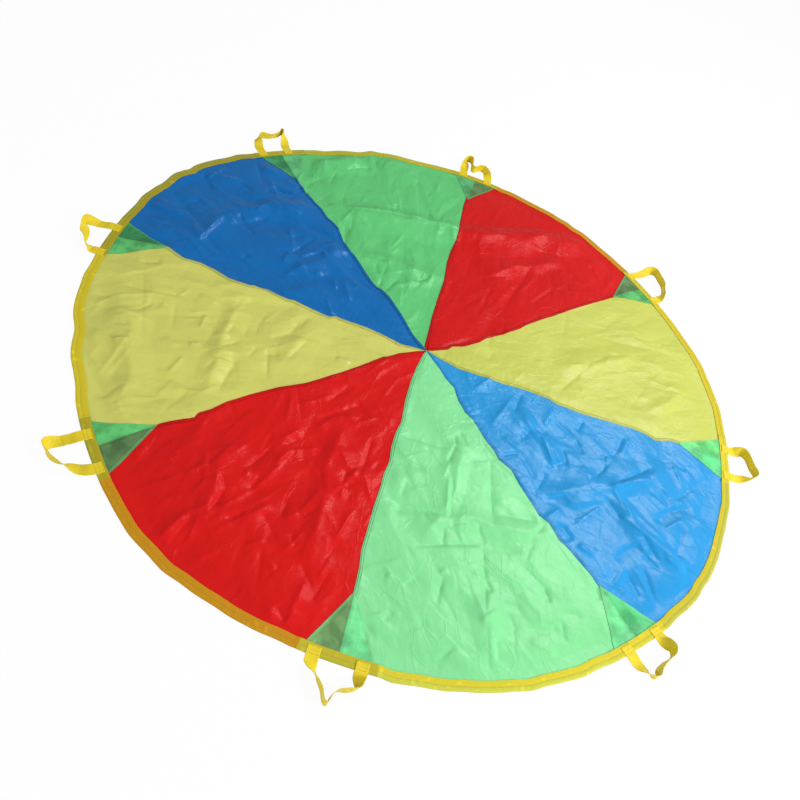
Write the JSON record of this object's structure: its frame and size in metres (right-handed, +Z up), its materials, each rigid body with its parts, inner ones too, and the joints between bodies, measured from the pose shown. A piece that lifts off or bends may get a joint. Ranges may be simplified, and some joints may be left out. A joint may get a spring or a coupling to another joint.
{
  "type": "play parachute",
  "caption": "Round play parachute of thin coloured cloth, lying open and lightly creased, with a bound rim, green corner patches and webbing handles.",
  "frame": {"origin": "the hub where all panels meet, on the floor", "axes": "+Z up from the floor, +X along the seam between the yellow and the blue panel, +Y along the seam between the red and the green panel"},
  "size_m": [1.9596, 1.9878, 0.028],
  "materials": {
    "green": "thin glossy translucent nylon",
    "red": "thin glossy translucent nylon",
    "yellow": "thin glossy translucent nylon",
    "blue": "thin glossy translucent nylon",
    "patch_green": "thin translucent nylon over a panel",
    "binding_yellow": "woven folded tape",
    "webbing_yellow": "woven webbing, slightly glossy"
  },
  "bodies": {
    "canopy": {"gore_1_yellow": "yellow", "gore_2_red": "red", "gore_3_green": "green", "gore_4_blue": "blue", "gore_5_yellow": "yellow", "gore_6_red": "red", "gore_7_green": "green", "gore_8_blue": "blue", "felled_seam_1": "yellow", "felled_seam_2": "red", "felled_seam_3": "red", "felled_seam_4": "blue", "felled_seam_5": "yellow", "felled_seam_6": "red", "felled_seam_7": "green", "felled_seam_8": "blue", "corner_patch_1": "patch_green", "corner_patch_2": "patch_green", "corner_patch_3": "patch_green", "corner_patch_4": "patch_green", "corner_patch_5": "patch_green", "corner_patch_6": "patch_green", "corner_patch_7": "patch_green", "corner_patch_8": "patch_green", "rim_binding": "binding_yellow", "sewn_end_1_left": "webbing_yellow", "sewn_end_1_right": "webbing_yellow", "sewn_end_2_left": "webbing_yellow", "sewn_end_2_right": "webbing_yellow", "sewn_end_3_left": "webbing_yellow", "sewn_end_3_right": "webbing_yellow", "sewn_end_4_left": "webbing_yellow", "sewn_end_4_right": "webbing_yellow", "sewn_end_5_left": "webbing_yellow", "sewn_end_5_right": "webbing_yellow", "sewn_end_6_left": "webbing_yellow", "sewn_end_6_right": "webbing_yellow", "sewn_end_7_left": "webbing_yellow", "sewn_end_7_right": "webbing_yellow", "sewn_end_8_left": "webbing_yellow", "sewn_end_8_right": "webbing_yellow"},
    "handle_1": {"handle_loop_1": "webbing_yellow"},
    "handle_2": {"handle_loop_2": "webbing_yellow"},
    "handle_3": {"handle_loop_3": "webbing_yellow"},
    "handle_4": {"handle_loop_4": "webbing_yellow"},
    "handle_5": {"handle_loop_5": "webbing_yellow"},
    "handle_6": {"handle_loop_6": "webbing_yellow"},
    "handle_7": {"handle_loop_7": "webbing_yellow"},
    "handle_8": {"handle_loop_8": "webbing_yellow"}
  },
  "joints": [
    {"name": "handle_1_hinge", "type": "hinge", "parent": "canopy", "child": "handle_1", "pos_m": [0.90504, -0.00872, 0.005], "axis": [-0.0143, -0.9999, 0], "range_deg": [-75, 120]},
    {"name": "handle_2_hinge", "type": "hinge", "parent": "canopy", "child": "handle_2", "pos_m": [0.64616, 0.64344, 0.005], "axis": [0.6964, -0.7176, 0], "range_deg": [-75, 120]},
    {"name": "handle_3_hinge", "type": "hinge", "parent": "canopy", "child": "handle_3", "pos_m": [-0.0039, 0.91452, 0.005], "axis": [0.9998, 0.0182, 0], "range_deg": [-75, 120]},
    {"name": "handle_4_hinge", "type": "hinge", "parent": "canopy", "child": "handle_4", "pos_m": [-0.65584, 0.63089, 0.005], "axis": [0.7414, 0.6711, 0], "range_deg": [-75, 120]},
    {"name": "handle_5_hinge", "type": "hinge", "parent": "canopy", "child": "handle_5", "pos_m": [-0.90436, -0.01931, 0.005], "axis": [-0.0562, 0.9984, 0], "range_deg": [-75, 120]},
    {"name": "handle_6_hinge", "type": "hinge", "parent": "canopy", "child": "handle_6", "pos_m": [-0.63353, -0.64465, 0.005], "axis": [-0.6599, 0.7513, 0], "range_deg": [-75, 120]},
    {"name": "handle_7_hinge", "type": "hinge", "parent": "canopy", "child": "handle_7", "pos_m": [0.00001, -0.90516, 0.005], "axis": [-1, 0.0055, 0], "range_deg": [-75, 120]},
    {"name": "handle_8_hinge", "type": "hinge", "parent": "canopy", "child": "handle_8", "pos_m": [0.65005, -0.64172, 0.005], "axis": [-0.7109, -0.7033, 0], "range_deg": [-75, 120]}
  ]
}
